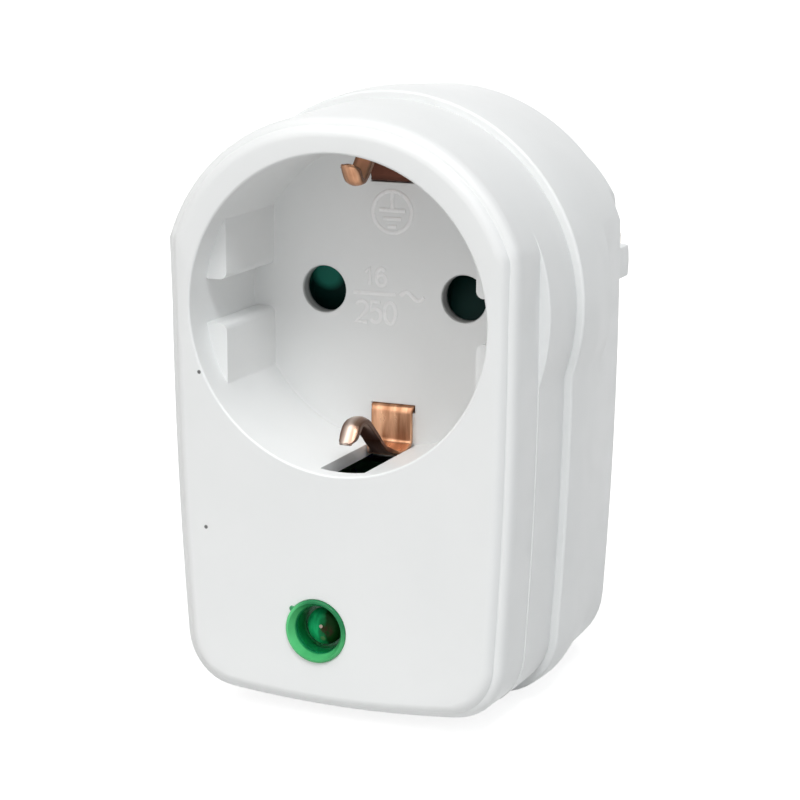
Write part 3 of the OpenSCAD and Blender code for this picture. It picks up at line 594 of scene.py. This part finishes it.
def face_growth(x, z):
    """How much wider the face's edge is than in the CAD: most at the shoulders, none on top and below."""
    if z < 0:
        return SIDE_WIDER * (1 - share_between(z, CORNER_TOP_Z, CORNER_LOW_Z))
    angle = math.degrees(math.atan2(z, abs(x)))
    if angle < SHOULDER_ANGLE:
        share = math.sin(math.radians(angle / SHOULDER_ANGLE * 90))
        return SIDE_WIDER + (SHOULDER_WIDER - SIDE_WIDER) * share
    return SHOULDER_WIDER * math.cos(math.radians((angle - SHOULDER_ANGLE) / (90 - SHOULDER_ANGLE) * 90))


def wider_edge(x, y, z, normal):
    """Where a point on the casing's outside goes: outwards near the face, forwards on the band's ledge."""
    ledge_y = BAND_Y - BAND_FORWARD
    into_ledge = y - BAND_Y
    on_ledge = -SLACK < into_ledge < LEDGE_LENGTH + SLACK
    if on_ledge:
        y -= BAND_FORWARD
    fading = 1 - (1 - KEPT_AT_BAND) * share_between(y, FACE_Y + EDGE_DEPTH, ledge_y)
    fading -= KEPT_AT_BAND * share_between(y, ledge_y + LEDGE_LENGTH, FADE_END_Y)
    growth = face_growth(x, z) * fading
    if on_ledge and into_ledge > SLACK / 2:
        growth -= BAND_LEDGE * share_between(z, *FLUSH_Z)
    out = Vector((normal.x, 0, normal.z)).normalized()
    return mm(x, y, z) + out * growth * MM


def refined(co, normal):
    """Where a point of the front shell goes, from its place in metres and its normal."""
    x, y, z = co / MM
    off_axis = math.hypot(x, z)
    from_pin = math.hypot(abs(x) - PIN_X, z)
    round_hole = HOLE_R - SLACK < from_pin < HOLE_R + HOLE_CHAMFER + 0.1
    if round_hole and -SLACK < y - FLOOR_Y < HOLE_CHAMFER + SLACK:
        return sharper_hole(x, y, z)
    if RECESS_R - SLACK < off_axis < RIM_END_R and y - FACE_Y < RIM_R + SLACK / 2:
        return sharper_rim(x, y, z)
    in_recess = off_axis < RIM_END_R
    round_lens = math.hypot(x - LENS.x, z - LENS.z) < LENS_SURROUND_R
    looks_in = normal.x * x + normal.z * (z - MIDDLE_Z) < 0
    looks_back = normal.y > 0.05
    if in_recess or round_lens or looks_in or looks_back:
        return co
    return wider_edge(x, y, z, normal)


def refine_front(mesh):
    """Brings the pin holes, the rim, the face's edge and the round band to what the photograph shows."""
    normals = [vert.normal.copy() for vert in mesh.vertices]
    for vert, normal in zip(mesh.vertices, normals):
        vert.co = refined(vert.co, normal)


def dress_shells():
    for node, body, slot in (
        ("front_shell", "housing", "casing"),
        ("rear_shell", "housing", "casing"),
        ("plug_earth_strap", "housing", "pin_plating"),
    ):
        mesh = clean_copy(node)
        if node == "front_shell":
            refine_front(mesh)
        soften(add_piece(node + "_surface", mesh, body, slot, node), SHELL_EDGE_R)


# Return spring


def return_spring():
    """The shutter's spring as a steel copy of its CAD node; on the real thing its front leg turns with the
    shutter and its rear leg stays in the carrier.
    """
    spring = add_object("return_spring", clean_copy("shutter_spring"))
    spring.data.materials.clear()
    spring.data.materials.append(FINISHES["steel"])
    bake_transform(spring)
    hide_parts("shutter_spring")


# Earth clips

CROWN = 0.4
CROWN_STRIP = 0.3
TONGUE_HALF = 1.2
CROWNED = (FACE_Y + 11, FACE_Y + 9)
CURL_Y = FACE_Y + 6.7
CURL_R = 1.5
UPPER_CURL_Z = 18.5
LOWER_CURL_Z = -17
OPENED = 0.9
OPENING = (FACE_Y + 12, FACE_Y + 10)
SLOT_FILLED = 0.14
SLOT_FRONT_Y = FLOOR_Y - 1.5
STRAP_Z = (14.1, 14.5)
STRAP_SIDE_X = 2.5


def clip_move(x, y, z):
    """How far a point of the clips moves: crowned, opened where it is the lower curl, filling its slot."""
    curl = Vector((x, CURL_Y, UPPER_CURL_Z if z > 0 else LOWER_CURL_Z))
    share = share_between(y, *CROWNED) * (x / TONGUE_HALF) ** 2
    move = (curl - Vector((x, y, z))).normalized() * CROWN * share
    if z < 0:
        move.y += OPENED * min(1, max(-1, (y - CURL_Y) / CURL_R)) * share_between(y, *OPENING)
    if y > SLOT_FRONT_Y and STRAP_Z[0] < abs(z) < STRAP_Z[1]:
        move.z -= math.copysign(SLOT_FILLED, z)
        if abs(x) > STRAP_SIDE_X:
            move.x += math.copysign(SLOT_FILLED, x)
    return move


def earth_clips():
    """The earth strap, its tongues crowned across their width and the lower one's curl opened by use."""
    mesh = clean_copy("socket_earth_strap")
    bm = bmesh.new()
    bm.from_mesh(mesh)
    for i in range(-3, 4):
        everything = bm.verts[:] + bm.edges[:] + bm.faces[:]
        cut = mm(i * CROWN_STRIP, 0, 0)
        bmesh.ops.bisect_plane(bm, geom=everything, dist=1e-6, plane_co=cut, plane_no=(1, 0, 0))
    for vert in bm.verts:
        vert.co += clip_move(*vert.co / MM) * MM
    bm.to_mesh(mesh)
    bm.free()
    shade_by_angle(mesh)
    soften(add_piece("earth_clips", mesh, "housing", "earth_bronze", "socket_earth_strap"), CLIP_EDGE_R, 3)


# Indicator window

HOLLOW_R = 2.75
BORE_R = 2.85
WEB_T = 0.8
RING_EDGE_R = 0.35
FLANGE_W = 1.1
FLANGE_T = 0.95
BEHIND_FLANGE = 2
TIP_R = 2.35
TIP_LENGTH = 1.3
WIRE_END = (-2.6, -38.95)
GATE_MARK = (-5.85, -36.7)


def window():
    """A web across a tube, with a dished ring at its front and a flange round it."""
    low, high = (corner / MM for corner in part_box("indicator_lens"))
    flange_r = (high.x - low.x) / 2
    tube_r = flange_r - FLANGE_W
    flange_y = high.y - BEHIND_FLANGE
    profile = [
        (0, WEB_Y), (HOLLOW_R, WEB_Y), (RING_R, low.y + 1.15), (RING_R + 0.08, low.y + 0.95),
        *arc(tube_r - RING_EDGE_R, low.y + RING_EDGE_R, RING_EDGE_R, RING_EDGE_R, -100, 0, 6),
        (tube_r, flange_y - FLANGE_T), (flange_r, flange_y - FLANGE_T), (flange_r, flange_y),
        (tube_r, flange_y), (tube_r, high.y), (BORE_R, high.y),
        (BORE_R, WEB_Y + WEB_T), (0, WEB_Y + WEB_T),
    ]
    mesh = revolved("window", profile, LENS.x, LENS.z, 96)
    add_piece("window", mesh, "housing", "green_window", "indicator_lens")


def lamp_tip():
    """The tip of the lamp that shows in the window."""
    dome = arc(0, WEB_Y, TIP_R, -TIP_LENGTH, 0, 90, 10)
    profile = [(0, WEB_Y), *dome[:-1], (0, WEB_Y - TIP_LENGTH)]
    mesh = revolved("lamp_tip", profile, LENS.x + 0.1, LENS.z)
    add_piece("lamp_tip", mesh, "housing", "lamp_glass", finish=lamp_tip_finish())


def lamp_wire_end():
    """A small nub on the lamp's tip for a wire's bare end, whose pale colour is a painted glint."""
    profile = [(0, WEB_Y - 1.45), (0.22, WEB_Y - 1.36), (0.27, WEB_Y - 1.1), (0, WEB_Y - 1.05)]
    # Painted highlight: pale colour standing in for a glint
    glint_colour = plain_finish("lamp_wire_end", (0.5, 0.38, 0.33), (0.4, 0.3, 0.25), 0.4)
    mesh = revolved("wire_end", profile, *WIRE_END, 12)
    add_piece("lamp_wire_end", mesh, "housing", "steel", finish=glint_colour)


def window_gate_mark():
    """The small nub that the moulding's gate left on the window's ring."""
    profile = [(0, FACE_Y - 0.15), (0.25, FACE_Y - 0.12), (0.4, FACE_Y), (0, FACE_Y + 0.05)]
    gate = plain_finish("gate_mark", (0.03, 0.27, 0.1), (0.025, 0.24, 0.09), 0.4)
    mesh = revolved("gate", profile, *GATE_MARK, 16)
    add_piece("window_gate_mark", mesh, "housing", "green_window", finish=gate)


# Relief on the recess floor

RELIEF = relief_finish()
STROKE = 0.27
RAISED = 0.13


def stroke_mesh(paths):
    """Raised rounded strokes on the recess floor, along lists of (x, z) points."""
    curve = bpy.data.curves.new("strokes", "CURVE")
    curve.dimensions = "3D"
    curve.bevel_depth = STROKE * MM
    curve.bevel_resolution = 3
    curve.use_fill_caps = True
    for points, closed in paths:
        spline = curve.splines.new("POLY")
        spline.points.add(len(points) - 1)
        for target, (x, z) in zip(spline.points, points):
            target.co = (*mm(x, 0, z), 1)
        spline.use_cyclic_u = closed
    thing = bpy.data.objects.new("strokes", curve)
    mesh = bpy.data.meshes.new_from_object(thing)
    bpy.data.objects.remove(thing)
    flatten = Matrix.Diagonal((1, RAISED / STROKE, 1, 1))
    mesh.transform(Matrix.Translation(mm(0, FLOOR_Y, 0)) @ flatten)
    shade_by_angle(mesh)
    return mesh


def earth_symbol():
    x, z, r = -0.1, 10.3, 2.6
    circle = (arc(x, z, r, r, 0, 360, 64)[:-1], True)
    stem = ([(x, z + 0.2), (x, z + r)], False)
    bars = [
        ([(x - half, z + up), (x + half, z + up)], False)
        for half, up in ((1.75, 0.2), (1.2, -0.85), (0.6, -1.85))
    ]
    add_piece("earth_symbol", stroke_mesh([circle, stem, *bars]), "housing", "casing", finish=RELIEF)


def rating_numbers():
    """Plain numbers over and under a bar, with an alternating current sign."""
    one = ([(-3.7, 2.5), (-3.15, 3.1), (-3.15, 0.95)], False)
    six = (arc(-1.6, 2.2, 0.6, 0.9, 40, 180, 12) + arc(-1.6, 1.65, 0.6, 0.7, 180, 540, 24), False)
    bar = ([(-5.4, -0.1), (0.4, -0.1)], False)
    two = (arc(-4.3, -1.9, 0.75, 0.75, 160, -40, 12) + [(-5.1, -3.8), (-3.5, -3.8)], False)
    top_of_five = [(-1.75, -1.15), (-2.95, -1.15), (-3.05, -2.4)]
    five = (top_of_five + arc(-2.4, -2.9, 0.75, 0.85, 130, -150, 16), False)
    nought = (arc(-0.4, -2.45, 0.75, 1.35, 0, 360, 24)[:-1], True)
    wave = ([(1.0 + 3.2 * i / 24, -0.15 + 0.5 * math.sin(math.tau * i / 24)) for i in range(25)], False)
    mesh = stroke_mesh([one, six, bar, two, five, nought, wave])
    add_piece("rating_numbers", mesh, "housing", "casing", finish=RELIEF)


# Stage: a pale floor and soft daylight

FLOOR_WHITE = 0.6
FLOOR_HALF = 4000
WORLD_LIGHT = 0.11
CAMERA_FILL = 0.8
# Each lamp's name, azimuth, elevation and width in degrees, strength and colour
LAMPS = (
    ("left_light", -25, 48, 37, 0.7, (1, 0.985, 0.96)),
    ("top_light", -20, 75, 37, 0.9, (1, 1, 1)),
    ("right_light", 35, 55, 18, 1.25, (0.97, 0.99, 1)),
    ("front_light", 0, 15, 50, 0.37, (1, 0.97, 0.95)),
    ("side_light", 55, 25, 50, 0.36, (0.92, 0.97, 1)),
    ("back_light", 205, 0, 30, 0.1, (1, 1, 1)),
)


def seen_directly(tree):
    """1 for rays that come straight from the camera or by way of gloss or glass."""
    path = tree.nodes.new("ShaderNodeLightPath")
    total = path.outputs["Is Camera Ray"]
    for name in ("Is Glossy Ray", "Is Transmission Ray"):
        node = tree.nodes.new("ShaderNodeMath")
        node.operation = "MAXIMUM"
        tree.links.new(total, node.inputs[0])
        tree.links.new(path.outputs[name], node.inputs[1])
        total = node.outputs[0]
    return total


def make_world():
    """White all round to the eye, and a weak light on everything."""
    world = bpy.data.worlds.new("daylight")
    bpy.context.scene.world = world
    world.use_nodes = True
    tree = world.node_tree
    background = tree.nodes["Background"]
    background.inputs["Color"].default_value = (1, 1, 1, 1)
    strength = tree.nodes.new("ShaderNodeMapRange")
    strength.inputs["To Min"].default_value = WORLD_LIGHT
    strength.inputs["To Max"].default_value = 1
    tree.links.new(seen_directly(tree), strength.inputs["Value"])
    tree.links.new(strength.outputs["Result"], background.inputs["Strength"])


def make_floor():
    """A wide floor that takes shadows and is filled up towards white for the camera."""
    mesh = bpy.data.meshes.new("floor")
    half = FLOOR_HALF * MM
    corners = [(-half, -half, 0), (half, -half, 0), (half, half, 0), (-half, half, 0)]
    mesh.from_pydata(corners, [], [(0, 1, 2, 3)])
    floor = add_object("floor", mesh)
    floor.location.z = BOTTOM_Z * MM
    f = Finish("floor_white", Roughness=0.9, Specular_IOR_Level=0.1, Emission_Color=(1, 1, 1, 1))
    white = (FLOOR_WHITE,) * 3
    f.feed("Base Color", f.colours(f.noise(40), white, [c * 0.99 for c in white]))
    f.feed("Emission Strength", f.times(seen_directly(f.tree), CAMERA_FILL))
    mesh.materials.append(f.material)


def make_lamp(name, azimuth, elevation, width, strength, colour):
    """A far soft lamp, width degrees across."""
    data = bpy.data.lights.new(name, "SUN")
    data.angle = math.radians(width)
    data.energy = strength
    data.color = colour
    aim(add_object(name, data), direction(azimuth, elevation))


make_camera()
dress_nodes()
dress_shells()
return_spring()
earth_clips()
window()
lamp_tip()
lamp_wire_end()
window_gate_mark()
earth_symbol()
rating_numbers()
make_world()
make_floor()
for lamp in LAMPS:
    make_lamp(*lamp)
bpy.context.scene.view_settings.view_transform = "Standard"

bpy.context.view_layer.update()
